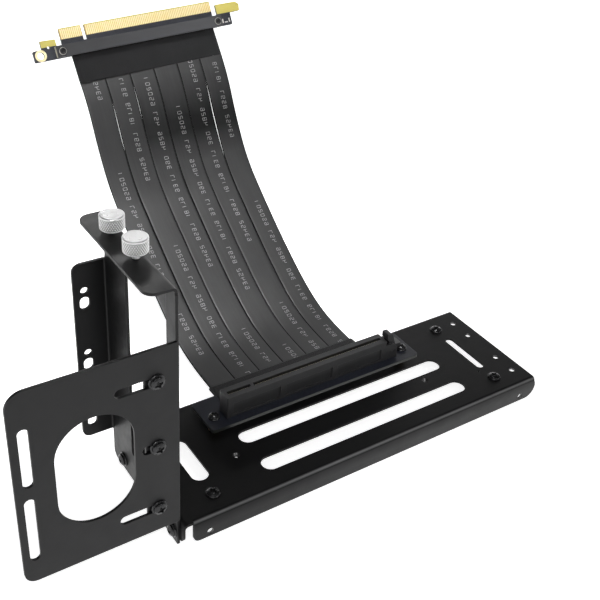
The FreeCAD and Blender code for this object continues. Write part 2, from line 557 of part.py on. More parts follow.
# the wrap goes up between the two bars, over both faces of the board
tongue = plug_box(4.2, 85.2, -15.2, -8.5, -PB_T / 2 - 0.85, PB_T / 2 + 0.85).cut(
    plug_box(0, 90, -13.95, -5, -PB_T / 2, PB_T / 2))
plug_wrap = fuse([plug_wrap, tongue]).cut([bar_f, bar_r, nodes["plug_board"]])
big = sorted(plug_wrap.Solids, key=lambda s: -s.Volume)
nodes["plug_wrap"] = big[0]

# ---------------------------------------------------------------- write

CABLE = {"plug_wrap", "plug_board", "plug_contacts", "plug_eyelet", "plug_cover_front", "plug_cover_rear", "plug_rivets", "riser_wrap"}
CABLE |= {"ribbon_%d" % (k + 1) for k in range(RIB_N)}
bb = FreeCAD.BoundBox()
for name, s in nodes.items():
    if name not in CABLE:
        bb.add(s.BoundBox)
print("bracket box", bb)
print("centre", (bb.XMin + bb.XMax) / 2, (bb.YMin + bb.YMax) / 2, bb.ZMin)
for name, s in nodes.items():
    s = s.copy()
    s.translate(V(-OX, -OY, 0))
    ok = s.isValid()
    print("%-18s solids %3d valid %s vol %9.1f box %s" % (
        name, len(s.Solids), ok, s.Volume,
        tuple(round(v, 1) for v in (s.BoundBox.XMin, s.BoundBox.XMax, s.BoundBox.YMin, s.BoundBox.YMax, s.BoundBox.ZMin, s.BoundBox.ZMax))))
    s.exportStep("parts/%s.step" % name)
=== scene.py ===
import math
import random

import bmesh
import bpy
from mathutils import Matrix, Vector


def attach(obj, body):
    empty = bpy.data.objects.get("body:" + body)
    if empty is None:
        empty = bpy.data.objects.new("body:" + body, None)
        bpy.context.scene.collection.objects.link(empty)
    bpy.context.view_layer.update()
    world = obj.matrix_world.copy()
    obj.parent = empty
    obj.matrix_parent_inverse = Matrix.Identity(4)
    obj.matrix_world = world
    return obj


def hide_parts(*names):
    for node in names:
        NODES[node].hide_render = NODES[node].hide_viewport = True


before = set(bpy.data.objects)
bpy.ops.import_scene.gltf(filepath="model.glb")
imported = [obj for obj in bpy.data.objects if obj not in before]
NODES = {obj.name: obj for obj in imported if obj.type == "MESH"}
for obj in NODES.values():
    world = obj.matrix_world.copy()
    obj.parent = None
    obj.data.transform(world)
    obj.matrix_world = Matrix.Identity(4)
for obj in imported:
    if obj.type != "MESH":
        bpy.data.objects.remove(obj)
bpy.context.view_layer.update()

random.seed(7)
SC = bpy.context.scene

# The construction frame (mm) is moved by this to the row frame.
OX, OY = 68.73, 30.35


def mm(x, y, z):
    return Vector(((x - OX) / 1000.0, (y - OY) / 1000.0, z / 1000.0))


# ------------------------------------------------------------------ camera
cam_data = bpy.data.cameras.new("camera")
cam = bpy.data.objects.new("camera", cam_data)
SC.collection.objects.link(cam)
cam_data.sensor_fit = "HORIZONTAL"
cam_data.sensor_width = 36.0
cam_data.lens = 58.2434
cam_data.shift_x = -0.04172
cam_data.shift_y = -0.06324
cam_data.clip_start = 0.01
cam_data.clip_end = 50.0
cam_rot = Matrix(((0.82384016, 0.24362204, -0.51179654),
                  (-0.56209351, 0.46752229, -0.6822564),
                  (0.07306359, 0.84974773, 0.522102)))
cam.matrix_world = Matrix.Translation(mm(-124.57567, -249.32601, 307.87378)) @ cam_rot.to_4x4()
SC.camera = cam

# ------------------------------------------------------------------ node helpers


class Mat:
    """A node material with short calls for the nodes used here."""

    def __init__(self, name):
        self.m = bpy.data.materials.new(name)
        self.m.use_nodes = True
        self.t = self.m.node_tree
        self.t.nodes.clear()
        self.out = self.t.nodes.new("ShaderNodeOutputMaterial")
        self.b = self.t.nodes.new("ShaderNodeBsdfPrincipled")
        self.t.links.new(self.b.outputs[0], self.out.inputs[0])
        self.co = self.t.nodes.new("ShaderNodeTexCoord").outputs["Object"]

    def put(self, node, i, v):
        s = node.inputs[i]
        if isinstance(v, bpy.types.NodeSocket):
            self.t.links.new(v, s)
        else:
            s.default_value = v

    def math(self, op, a, b=0.0, c=0.0, clamp=False):
        n = self.t.nodes.new("ShaderNodeMath")
        n.operation = op
        n.use_clamp = clamp
        self.put(n, 0, a)
        self.put(n, 1, b)
        if len(n.inputs) > 2:
            self.put(n, 2, c)
        return n.outputs[0]

    def vec(self, op, a, b=(0, 0, 0), out=0):
        n = self.t.nodes.new("ShaderNodeVectorMath")
        n.operation = op
        self.put(n, 0, a)
        self.put(n, 1, b)
        return n.outputs[out]

    def dot(self, v, d):
        return self.vec("DOT_PRODUCT", v, tuple(d), "Value")

    def scaled(self, s):
        n = self.t.nodes.new("ShaderNodeMapping")
        self.put(n, 0, self.co)
        n.inputs["Scale"].default_value = (s, s, s) if not hasattr(s, "__len__") else tuple(s)
        return n.outputs[0]

    def noise(self, scale, detail=3.0, rough=0.5, co=None, dist=0.0):
        n = self.t.nodes.new("ShaderNodeTexNoise")
        self.put(n, "Vector", co if co is not None else self.co)
        n.inputs["Scale"].default_value = scale
        n.inputs["Detail"].default_value = detail
        n.inputs["Roughness"].default_value = rough
        n.inputs["Distortion"].default_value = dist
        return n.outputs["Fac"]

    def voronoi(self, scale, co=None, feature="F1"):
        n = self.t.nodes.new("ShaderNodeTexVoronoi")
        n.feature = feature
        self.put(n, "Vector", co if co is not None else self.co)
        n.inputs["Scale"].default_value = scale
        return n.outputs["Distance"]

    def ramp(self, fac, stops, mode="LINEAR"):
        n = self.t.nodes.new("ShaderNodeValToRGB")
        cr = n.color_ramp
        cr.interpolation = mode
        while len(cr.elements) < len(stops):
            cr.elements.new(0.5)
        for e, (p, c) in zip(cr.elements, stops):
            e.position = p
            e.color = (c, c, c, 1) if not hasattr(c, "__len__") else (*c, 1)
        self.put(n, 0, fac)
        return n.outputs[0]

    def mix(self, fac, a, b):
        n = self.t.nodes.new("ShaderNodeMix")
        n.data_type = "RGBA"
        n.blend_type = "MIX"
        self.put(n, 0, fac)
        self.put(n, 6, a if isinstance(a, bpy.types.NodeSocket) else (*a, 1))
        self.put(n, 7, b if isinstance(b, bpy.types.NodeSocket) else (*b, 1))
        return n.outputs[2]

    def grey(self, v):
        n = self.t.nodes.new("ShaderNodeCombineColor")
        for i in range(3):
            self.put(n, i, v)
        return n.outputs[0]

    def range(self, v, a, b, c, d):
        n = self.t.nodes.new("ShaderNodeMapRange")
        self.put(n, 0, v)
        n.inputs[1].default_value = a
        n.inputs[2].default_value = b
        n.inputs[3].default_value = c
        n.inputs[4].default_value = d
        return n.outputs[0]

    def bump(self, height, dist, strength=1.0, normal=None):
        n = self.t.nodes.new("ShaderNodeBump")
        n.inputs["Distance"].default_value = dist
        n.inputs["Strength"].default_value = strength
        self.put(n, "Height", height)
        if normal is not None:
            self.put(n, "Normal", normal)
        return n.outputs[0]

    def bevel(self, radius, samples=6):
        n = self.t.nodes.new("ShaderNodeBevel")
        n.samples = samples
        n.inputs["Radius"].default_value = radius
        return n.outputs[0]

    def edge(self, bevel):
        """1 near an edge, 0 on flats: how far the rounded normal turns from the plain one."""
        g = self.t.nodes.new("ShaderNodeNewGeometry")
        d = self.vec("DOT_PRODUCT", bevel, g.outputs["Normal"], "Value")
        return self.range(d, 0.995, 0.86, 0.0, 1.0)

    def inside(self, v, lo, hi):
        """1 where v lies between lo and hi."""
        return self.math("COMPARE", v, (lo + hi) / 2.0, (hi - lo) / 2.0)

    def set(self, **kw):
        names = {"color": "Base Color", "metal": "Metallic", "rough": "Roughness", "normal": "Normal",
                 "spec": "Specular IOR Level", "coat": "Coat Weight", "coat_rough": "Coat Roughness",
                 "sheen": "Sheen Weight", "sheen_rough": "Sheen Roughness", "ior": "IOR", "aniso": "Anisotropic"}
        for k, v in kw.items():
            if k == "color" and not isinstance(v, bpy.types.NodeSocket):
                v = (*v, 1.0)
            self.put(self.b, names[k], v)
        return self.m


# ------------------------------------------------------------------ materials

def powder_coat(name, base=(0.026, 0.026, 0.0275), rough=0.5, edge=0.11, spec=0.4, fold_highlight_tone=None):
    m = Mat(name)
    fine = m.noise(2600, 3.0, 0.6)
    grain = m.voronoi(1500)
    wave = m.noise(420, 2.0, 0.5)
    broad = m.noise(22, 3.0, 0.55)
    bev = m.bevel(0.00028, 8)
    e = m.edge(bev)
    # painted highlight along the sheet edges: the colour is lightened towards the edge tone there, broken up by noise
    painted_edge_highlight = m.math("MULTIPLY", e, m.range(m.noise(260, 4.0, 0.65), 0.42, 0.68, 0.25, 1.0))
    col = m.mix(m.range(broad, 0.3, 0.7, 0.0, 1.0), tuple(c * 0.86 for c in base), tuple(c * 1.14 for c in base))
    col = m.mix(m.range(fine, 0.62, 0.78, 0.0, 0.35), col, tuple(min(1, c * 2.2) for c in base))
    col = m.mix(m.math("MULTIPLY", painted_edge_highlight, 0.55), col, (edge, edge, edge * 1.03))
    sp = spec
    if fold_highlight_tone:
        # painted highlight: the colour is lighter along the outside of the long folds
        g = m.t.nodes.new("ShaderNodeNewGeometry")
        nz = m.dot(g.outputs["Normal"], (0, 0, 1))
        painted_fold_highlight = m.math("MULTIPLY", m.range(nz, 0.32, 0.70, 0.0, 1.0), m.range(nz, 0.74, 0.95, 1.0, 0.0))
        nx = m.math("ABSOLUTE", m.dot(g.outputs["Normal"], (1, 0, 0)))
        painted_fold_highlight = m.math("MULTIPLY", painted_fold_highlight, m.range(nx, 0.05, 0.3, 1.0, 0.2))
        painted_fold_highlight = m.math("MULTIPLY", painted_fold_highlight, m.range(m.noise(75, 3.0, 0.6), 0.3, 0.7, 0.8, 1.0))
        col = m.mix(painted_fold_highlight, col, (fold_highlight_tone, fold_highlight_tone, fold_highlight_tone * 1.01))
        # painted shade in the gloss: flat top duller than the flanges; the flanges' gloss fades towards the folds and
        # the left end
        low = m.math("MULTIPLY", m.range(m.dot(m.co, (0, 0, 1)), 0.0042, 0.0094, 0.96, 0.40),
                     m.range(m.dot(m.co, (1, 0, 0)), -0.045, 0.105, 0.66, 1.0))
        sp = m.mix(m.range(nz, 0.9, 0.995, 0.0, 1.0), m.grey(m.math("MULTIPLY", low, spec)), (spec * 0.34,) * 3)
    h = m.math("ADD", m.math("MULTIPLY", fine, 0.55), m.math("MULTIPLY", grain, 0.35))
    h = m.math("ADD", h, m.math("MULTIPLY", wave, 0.9))
    r = m.range(m.noise(130, 4.0, 0.6), 0.3, 0.7, rough - 0.06, rough + 0.07)
    return m.set(color=col, rough=r, normal=m.bump(h, 0.00003, 0.6, bev), spec=sp)


def glossy_black(name):
    m = Mat(name)
    bev = m.bevel(0.00012, 6)
    e = m.edge(bev)
    n = m.noise(1800, 3.0, 0.55)
    s = m.noise(500, 4.0, 0.6)
    col = m.mix(m.range(s, 0.35, 0.7, 0.0, 1.0), (0.012, 0.012, 0.013), (0.026, 0.026, 0.028))
    # painted highlight: the rims are lightened towards grey
    col = m.mix(m.math("MULTIPLY", e, 0.3), col, (0.16, 0.16, 0.165))
    # painted shade: the recess bottom is coloured near black, rougher and less metallic
    ao = m.t.nodes.new("ShaderNodeAmbientOcclusion")
    ao.samples = 8
    ao.only_local = True
    ao.inputs["Distance"].default_value = 0.0014
    painted_recess_shade = m.range(ao.outputs["AO"], 0.30, 0.78, 1.0, 0.0)
    col = m.mix(painted_recess_shade, col, (0.002, 0.002, 0.002))
    r = m.mix(painted_recess_shade, m.grey(m.range(s, 0.3, 0.7, 0.17, 0.30)), (0.8, 0.8, 0.8))
    return m.set(color=col, metal=m.math("MULTIPLY", m.math("SUBTRACT", 1.0, painted_recess_shade), 0.35),
                 rough=r, normal=m.bump(n, 0.000012, 0.6, bev), spec=0.65)


def bright_metal(name, base=(0.86, 0.86, 0.86), rough=0.24):
    """Satin bright plate with light handling marks; the turning rings about the head's own axis are added in
    turned_metal.
    """
    m = Mat(name)
    n = m.noise(900, 4.0, 0.6)
    broad = m.noise(160, 3.0, 0.5)
    col = m.mix(m.range(broad, 0.3, 0.7, 0, 1), tuple(c * 0.93 for c in base), base)
    col = m.mix(m.range(n, 0.66, 0.8, 0.0, 0.4), col, tuple(c * 0.72 for c in base))
    r = m.range(n, 0.3, 0.7, rough - 0.05, rough + 0.1)
    return m, col, r, n


def turned_metal(name, centre, base=(0.96, 0.96, 0.96)):
    m, col, r, n = bright_metal(name, base, 0.3)
    d = m.vec("SUBTRACT", m.co, tuple(centre))
    flat = m.vec("MULTIPLY", d, (1, 1, 0))
    rad = m.vec("LENGTH", flat, out="Value")
    rings = m.math("SINE", m.math("MULTIPLY", rad, 2 * math.pi / 0.00019))
    h = m.math("ADD", m.math("MULTIPLY", rings, 0.5), n)
    # darker in the knurl's grooves
    up = m.dot(d, (0, 0, 1))
    side = m.inside(up, 0.0006, 0.0054)
    deep = m.math("MULTIPLY", m.range(rad, 0.00450, 0.00468, 1.0, 0.0), side)
    col = m.mix(m.math("MULTIPLY", deep, 0.85), col, (0.03, 0.03, 0.031))
    # the faced top is darker in colour than the sides
    face = m.math("MULTIPLY", m.math("GREATER_THAN", up, 0.00592), m.range(rad, 0.0043, 0.0046, 1.0, 0.0))
    col = m.mix(face, col, m.mix(m.range(n, 0.3, 0.7, 0.0, 1.0), (0.39, 0.39, 0.39), (0.42, 0.42, 0.42)))
    return m.set(color=col, metal=0.92, rough=r, normal=m.bump(h, 0.000012, 0.55))


def cut_steel(name):
    m, col, r, n = bright_metal(name, (0.20, 0.20, 0.20), 0.3)
    col = m.mix(m.range(m.noise(420, 3.0, 0.6), 0.45, 0.6, 0.0, 0.8), col, (0.015, 0.015, 0.016))
    return m.set(color=col, metal=0.9, rough=r, normal=m.bump(n, 0.00001, 0.5))


def gold(name):
    m = Mat(name)
    n = m.noise(1400, 3.0, 0.6)
    s = m.noise(210, 3.0, 0.6)
    col = m.mix(m.range(s, 0.35, 0.7, 0, 1), (0.97, 0.82, 0.42), (1.0, 0.90, 0.58))
    col = m.mix(m.range(n, 0.62, 0.76, 0.0, 0.3), col, (0.93, 0.69, 0.29))
    return m.set(color=col, metal=0.45, rough=m.range(n, 0.3, 0.7, 0.34, 0.46), normal=m.bump(n, 0.000004, 0.4), spec=0.8)


def brass(name):
    m = Mat(name)
    n = m.noise(900, 4.0, 0.6)
    bev = m.bevel(0.00015, 4)
    col = m.mix(m.range(n, 0.35, 0.7, 0, 1), (0.55, 0.38, 0.16), (0.74, 0.55, 0.27))
    return m.set(color=col, metal=0.9, rough=m.range(n, 0.3, 0.7, 0.28, 0.44), normal=m.bump(n, 0.00001, 0.5, bev))


def moulded(name, base=(0.022, 0.022, 0.023), rough=0.42, ends=None, painted_light_ramp=None):
    """Spark-eroded moulded plastic; the ramp (origin, direction, length, share) pales it towards one end as painted
    light.
    """
    m = Mat(name)
    bev = m.bevel(0.0002, 6)
    e = m.edge(bev)
    fine = m.noise(3200, 2.0, 0.6)
    pits = m.voronoi(2300)
    flow = m.noise(60, 3.0, 0.5)
    col = m.mix(m.range(flow, 0.3, 0.7, 0, 1), tuple(c * 0.88 for c in base), tuple(c * 1.15 for c in base))
    if painted_light_ramp is not None:
        # painted light: the colour pales along the ramp towards one end
        place = m.dot(m.vec("SUBTRACT", m.co, tuple(painted_light_ramp[0])), painted_light_ramp[1])
        fac = m.range(m.math("ADD", place, m.math("MULTIPLY", m.math("SUBTRACT", flow, 0.5), 0.01)), 0.0, painted_light_ramp[2], 0.0, painted_light_ramp[3])
        col = m.mix(fac, col, tuple(min(1, c * 2.0) for c in base))
    # painted highlight: the edges are lightened towards a paler tone
    col = m.mix(m.math("MULTIPLY", e, 0.35), col, tuple(min(1, c * 3.2 + 0.02) for c in base))
    if ends is not None:
        # the bar's sawn ends are bare and pale
        g = m.t.nodes.new("ShaderNodeNewGeometry")
        end = m.math("GREATER_THAN", m.math("ABSOLUTE", m.dot(g.outputs["Normal"], ends)), 0.9)
        col = m.mix(end, col, m.mix(fine, (0.50, 0.47, 0.38), (0.66, 0.63, 0.52)))
    h = m.math("ADD", fine, m.math("MULTIPLY", pits, 0.5))
    return m.set(color=col, rough=m.range(fine, 0.3, 0.7, rough - 0.05, rough + 0.08), normal=m.bump(h, 0.00002, 0.5, bev), spec=0.45)


def woven(name, along, across, base=(0.0085, 0.0085, 0.009), pitch=0.00042):
    """Plain-weave cloth tape: warp and weft over and under, with a few lighter fibres."""
    m = Mat(name)
    u = m.math("MULTIPLY", m.dot(m.co, along), math.pi / pitch)
    v = m.math("MULTIPLY", m.dot(m.co, across), math.pi / pitch)
    su = m.math("SINE", u)
    sv = m.math("SINE", v)
    check = m.math("MULTIPLY", su, sv)
    over = m.range(check, -0.15, 0.15, 0.0, 1.0)
    warp = m.math("ABSOLUTE", m.math("COSINE", m.math("MULTIPLY", v, 1.0)))
    weft = m.math("ABSOLUTE", m.math("COSINE", m.math("MULTIPLY", u, 1.0)))
    h = m.math("ADD", m.math("MULTIPLY", over, warp), m.math("MULTIPLY", m.math("SUBTRACT", 1.0, over), weft))
    fuzz = m.noise(5200, 3.0, 0.7)
    h = m.math("ADD", h, m.math("MULTIPLY", fuzz, 0.5))
    broad = m.noise(70, 4.0, 0.6)
    col = m.mix(m.range(h, 0.0, 1.5, 0.0, 1.0), tuple(c * 0.5 for c in base), tuple(c * 1.5 for c in base))
    col = m.mix(m.range(broad, 0.35, 0.72, 0.0, 0.35), col, tuple(c * 1.9 for c in base))
    col = m.mix(m.range(fuzz, 0.66, 0.8, 0.0, 0.25), col, (0.07, 0.07, 0.07))
    return m.set(color=col, rough=0.86, normal=m.bump(h, 0.00006, 0.7), spec=0.2, sheen=0.14, sheen_rough=0.5)


def jacket(name, seed):
    """Satin cable jacket: faint ridges of the wires inside, soft scuffs, and a row of plain printed numerals."""
    m = Mat(name)
    uvn = m.t.nodes.new("ShaderNodeUVMap")
    uvn.uv_map = "strip"
    sep = m.t.nodes.new("ShaderNodeSeparateXYZ")
    m.put(sep, 0, uvn.outputs[0])
    s, w = sep.outputs[0], sep.outputs[1]          # metres along and across
    # ridges of the wires inside, strongest at the middle of the strip
    ridge = m.math("SINE", m.math("MULTIPLY", w, 2 * math.pi / 0.00105))
    fine = m.noise(2600, 3.0, 0.6)
    wave = m.noise(95, 3.0, 0.5)
    streak_co = m.t.nodes.new("ShaderNodeCombineXYZ")
    m.put(streak_co, 0, m.math("MULTIPLY", s, 22.0))
    m.put(streak_co, 1, m.math("MULTIPLY", w, 900.0))
    m.put(streak_co, 2, float(seed))
    streak = m.noise(1.0, 3.0, 0.55, streak_co.outputs[0])
    broad_co = m.t.nodes.new("ShaderNodeCombineXYZ")
    m.put(broad_co, 0, m.math("MULTIPLY", s, 45.0))
    m.put(broad_co, 1, m.math("MULTIPLY", w, 110.0))
    m.put(broad_co, 2, seed * 3.7)
    broad = m.noise(1.0, 3.0, 0.5, broad_co.outputs[0])
    base = m.mix(m.range(broad, 0.3, 0.7, 0, 1), (0.022, 0.022, 0.0225), (0.031, 0.031, 0.0315))
    base = m.mix(m.range(streak, 0.35, 0.7, 0.0, 0.4), base, (0.041, 0.041, 0.042))
    # painted shade: a darker, less glossy stretch near the plug end, strongest on the last strips
    deep = (0.20, 0.30, 0.66, 0.74, 0.82, 0.72)[seed - 1]
    wob = m.math("MULTIPLY", m.math("SUBTRACT", broad, 0.5), 0.006)
    sw = m.math("ADD", s, wob)
    painted_dark_band = m.math("MULTIPLY", m.range(sw, 0.1300, 0.1465, 0.0, 1.0), m.range(sw, 0.1530, 0.1780, 1.0, 0.0))
    painted_dark_band = m.math("MULTIPLY", painted_dark_band, deep)
    base = m.mix(painted_dark_band, base, (0.003, 0.003, 0.003))
    # printed numerals, one seven-stroke figure a cell, along the strip's middle
    pitch, high, wide = 0.00266, 0.0021, 0.0014
    first = (0.170, 0.124, 0.069, 0.051, 0.077, 0.137)[seed - 1]
    shift = m.math("FLOORED_MODULO", m.math("SUBTRACT", s, first), 0.147)
    cell = m.math("FLOOR", m.math("DIVIDE", shift, pitch))
    lx = m.math("SUBTRACT", shift, m.math("MULTIPLY", m.math("ADD", cell, 0.5), pitch))
    ly = m.math("SUBTRACT", w, 0.0009)
    wn = m.t.nodes.new("ShaderNodeTexWhiteNoise")
    wn.noise_dimensions = "1D"
    m.put(wn, "W", m.math("ADD", cell, 17.37))
    digit = wn.outputs["Value"]
    # words of three to six figures, then a long blank before the row starts again
    stops, on = [], True
    for count in (5, 1, 4, 1, 5, 1, 4, 1, 3, 1, 4, 1, 3, 1, 6):
        stops.append((count, 1.0 if on else 0.0))
        on = not on
    place, spans = 0, []
    for count, v in stops:
        spans.append((place / 64.0, v))
        place += count
    spans.append((place / 64.0, 0.0))
    shown = m.ramp(m.math("DIVIDE", m.math("ADD", cell, 0.5), 64.0), spans, "CONSTANT")
    th = 0.00026
    strokes = {
        "a": (0.0, high / 2, wide / 2, th, (1, 0, 1, 1, 0, 1, 1, 1, 1, 1)),
        "g": (0.0, 0.0, wide / 2, th, (0, 0, 1, 1, 1, 1, 1, 0, 1, 1)),
        "d": (0.0, -high / 2, wide / 2, th, (1, 0, 1, 1, 0, 1, 1, 0, 1, 1)),
        "b": (wide / 2, high / 4, th, high / 4, (1, 1, 1, 1, 1, 0, 0, 1, 1, 1)),
        "c": (wide / 2, -high / 4, th, high / 4, (1, 1, 0, 1, 1, 1, 1, 1, 1, 1)),
        "f": (-wide / 2, high / 4, th, high / 4, (1, 0, 0, 0, 1, 1, 1, 0, 1, 1)),
        "e": (-wide / 2, -high / 4, th, high / 4, (1, 0, 1, 0, 0, 0, 1, 0, 1, 0)),
    }
    ink = None
    for cx, cy, hx, hy, on in strokes.values():
        hx2 = hx if hx > th else th / 1.6
        hy2 = hy if hy > th else th / 1.6
        rect = m.math("MULTIPLY", m.math("COMPARE", lx, cx, hx2), m.math("COMPARE", ly, cy, hy2))
        gate = m.ramp(digit, [(i / 10.0, float(v)) for i, v in enumerate(on)], "CONSTANT")
        part = m.math("MULTIPLY", rect, gate)
        ink = part if ink is None else m.math("MAXIMUM", ink, part)
    ink = m.math("MULTIPLY", ink, shown)
    ink = m.math("MULTIPLY", ink, m.range(m.noise(1500, 3.0, 0.6), 0.36, 0.55, 0.35, 0.9))
    # only on the strip's front face
    g = m.t.nodes.new("ShaderNodeAttribute")
    g.attribute_name = "front"
    ink = m.math("MULTIPLY", ink, m.math("GREATER_THAN", g.outputs["Fac"], 0.995))
    col = m.mix(m.math("MULTIPLY", ink, m.math("SUBTRACT", 0.9, m.math("MULTIPLY", painted_dark_band, 0.4))), base, (0.36, 0.36, 0.36))
    # painted shade in the grooves between the strips
    painted_groove_shade = m.range(g.outputs["Fac"], 0.4, 0.98, 0.96, 0.0)
    col = m.mix(painted_groove_shade, col, (0.002, 0.002, 0.002))
    h = m.math("ADD", m.math("MULTIPLY", ridge, 0.12), m.math("MULTIPLY", fine, 0.22))
    h = m.math("ADD", h, m.math("MULTIPLY", wave, 1.2))
    h = m.math("ADD", h, m.math("MULTIPLY", ink, 0.25))
    r = m.range(streak, 0.3, 0.7, 0.36, 0.5)
    sp = m.math("MULTIPLY", m.math("SUBTRACT", 0.42, m.math("MULTIPLY", painted_dark_band, 0.36)), m.math("SUBTRACT", 1.0, m.math("MULTIPLY", painted_groove_shade, 0.8)))
    return m.set(color=col, rough=r, normal=m.bump(h, 0.00004, 0.5), spec=sp)


# plug board's own axes, as in the construction
PO = mm(44.5, 218.0, 140.8)
PU = Vector((1.0, -0.028, 0.066)).normalized()
PV = Vector((0.0, 0.45, 0.893))
PV = (PV - PU * PV.dot(PU)).normalized()
PN = PU.cross(PV)


def pl(u, v, n):
    return PO + PU * (u / 1000.0) + PV * (v / 1000.0) + PN * (n / 1000.0)


def solder_mask(name, bare, pads, origin, ax_u, ax_v, base=(0.0075, 0.009, 0.015), fingers=None):
    """Black circuit board: faint copper traces under the mask, bare laminate zones, small bright pads.
    bare and pads are boxes (u0, u1, v0, v1) in metres along the board's axes."""
    m = Mat(name)
    d = m.vec("SUBTRACT", m.co, tuple(origin))
    u, v = m.dot(d, ax_u), m.dot(d, ax_v)
    # traces: pairs of thin lines that run across the board with gentle jogs
    jog = m.math("MULTIPLY", m.noise(120, 1.0, 0.4), 0.0016)
    tr = m.math("SINE", m.math("MULTIPLY", m.math("ADD", u, jog), 2 * math.pi / 0.0006))
    tr = m.range(tr, 0.35, 0.75, 0.0, 1.0)
    patch = m.range(m.noise(90, 2.0, 0.5), 0.46, 0.52, 0.0, 1.0)
    tr = m.math("MULTIPLY", tr, patch)
    n = m.noise(700, 3.0, 0.6)
    col = m.mix(m.range(n, 0.3, 0.7, 0, 1), tuple(c * 0.85 for c in base), tuple(c * 1.2 for c in base))
    col = m.mix(m.math("MULTIPLY", tr, 0.5), col, tuple(c * 1.9 for c in base))
    lam = None
    for u0, u1, v0, v1 in bare:
        z = m.math("MULTIPLY", m.inside(u, u0, u1), m.inside(v, v0, v1))
        lam = z if lam is None else m.math("MAXIMUM", lam, z)
    weave = m.math("MULTIPLY", m.math("SINE", m.math("MULTIPLY", u, 2 * math.pi / 0.0007)), m.math("SINE", m.math("MULTIPLY", v, 2 * math.pi / 0.0007)))
    olive = m.mix(m.range(weave, -1, 1, 0, 1), (0.48, 0.41, 0.085), (0.58, 0.50, 0.14))
    if lam is not None:
        col = m.mix(lam, col, olive)
    if fingers:
        u0, u1, v0, v1 = fingers
        z = m.math("MULTIPLY", m.inside(u, u0, u1), m.inside(v, v0, v1))
        col = m.mix(z, col, (0.62, 0.42, 0.13))
    pad = None
    for u0, u1, v0, v1 in pads:
        z = m.math("MULTIPLY", m.inside(u, u0, u1), m.inside(v, v0, v1))
        pad = z if pad is None else m.math("MAXIMUM", pad, z)
    metal = 0.0
    if pad is not None:
        col = m.mix(pad, col, (0.85, 0.83, 0.78))
        metal = m.math("MULTIPLY", pad, 0.8)
    # sawn edges of the board show the laminate
    g = m.t.nodes.new("ShaderNodeNewGeometry")
    face = m.math("ABSOLUTE", m.dot(g.outputs["Normal"], Vector(ax_u).cross(Vector(ax_v))))
    side = m.math("LESS_THAN", face, 0.5)
    col = m.mix(m.math("MULTIPLY", side, 0.75), col, (0.020, 0.022, 0.018))
    h = m.math("ADD", m.math("MULTIPLY", tr, 0.8), m.math("MULTIPLY", n, 0.3))
    bev = m.bevel(0.00012, 4)
    return m.set(color=col, metal=metal, rough=m.range(n, 0.3, 0.7, 0.3, 0.42), normal=m.bump(h, 0.00002, 0.6, bev), spec=0.5)


X = Vector((1, 0, 0))
Y = Vector((0, 1, 0))
Z = Vector((0, 0, 1))

# lit and shaded copies of one black powder coat: tone and gloss differ part by part as painted light and shade
M_BASE = powder_coat("powder_base", base=(0.0075, 0.0075, 0.008), rough=0.42, fold_highlight_tone=0.18)
M_FRAME = powder_coat("powder_frame", base=(0.0065, 0.0065, 0.007), rough=0.40, spec=0.25)
M_PLATE = powder_coat("powder_plate", base=(0.008, 0.008, 0.0085), rough=0.44, spec=0.29)
M_SCREW = glossy_black("black_screw")
M_GOLD = gold("gold_plate")
M_BRASS = brass("turned_brass")
M_SOCKET = moulded("socket_plastic")
M_LATCH = moulded("latch_plastic", base=(0.028, 0.028, 0.029), rough=0.36)
M_BAR = moulded("bar_plastic", base=(0.029, 0.0292, 0.0312), rough=0.46, ends=PU, painted_light_ramp=(PO, PU, 0.085, 0.95))
M_PLUGBOARD = solder_mask(
    "plug_mask",
    bare=[(-0.0111, -0.0029, -0.0074, -0.0030), (0.0875, 0.104, -0.0070, 0.001), (-0.0002, 0.0854, 0.0001, 0.001)],
    pads=[(0.0903, 0.0911, -0.0122, -0.0100), (0.0917, 0.0935, -0.0122, -0.0116), (0.0942, 0.0950, -0.0122, -0.0100)],
    origin=PO, ax_u=PU, ax_v=PV, base=(0.022, 0.0235, 0.031), fingers=(-0.0002, 0.0854, -0.0050, 0.0001))
RB_ORIGIN = mm(36.0, 35.0, 17.7)
M_RISERBOARD = solder_mask(
    "riser_mask", bare=[], pads=[], origin=RB_ORIGIN, ax_u=X, ax_v=Y)

# ------------------------------------------------------------------ mesh helpers


def new_object(name, verts, faces, mat, body="bracket", smooth=True):
    me = bpy.data.meshes.new(name)
    me.from_pydata([tuple(v) for v in verts], [], faces)
    me.validate()
    me.update()
    o = bpy.data.objects.new(name, me)
    SC.collection.objects.link(o)
    me.materials.append(mat)
    if smooth:
        for p in me.polygons:
            p.use_smooth = True
    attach(o, body)
    return o


def loft(rings, closed=True, caps=True):
    """Vertices and faces through rings of the same number of points."""
    n = len(rings[0])
    verts = [p for r in rings for p in r]
    faces = []
    for i in range(len(rings) - 1):
        for j in range(n if closed else n - 1):
            k = (j + 1) % n
            faces.append((i * n + j, i * n + k, (i + 1) * n + k, (i + 1) * n + j))
    if caps:
        faces.append(tuple(range(n - 1, -1, -1)))
        faces.append(tuple((len(rings) - 1) * n + j for j in range(n)))
    return verts, faces


# ------------------------------------------------------------------ ribbons
RIB_X0, RIB_W, RIB_PITCH, RIB_T, RIB_N = 48.9, 13.3, 13.5, 0.9, 6
ROUTE = [(61.5, 16.9), (80.0, 17.2), (102.0, 24.0), (127.0, 39.5), (150.0, 55.5),
         (170.0, 70.5), (184.0, 91.0), (194.5, 111.0), (202.6, 120.0)]
TWIST_Y, TWIST_Z = -1.7, 5.0
# sideways bow of each strip at mid length
BOW = (-0.05, 0.0, 0.0, 0.03, 0.03, 0.08)
# small rise of each strip over its neighbours
LIFT = (0.0, 0.16, -0.06, 0.14, 0.02, 0.2)
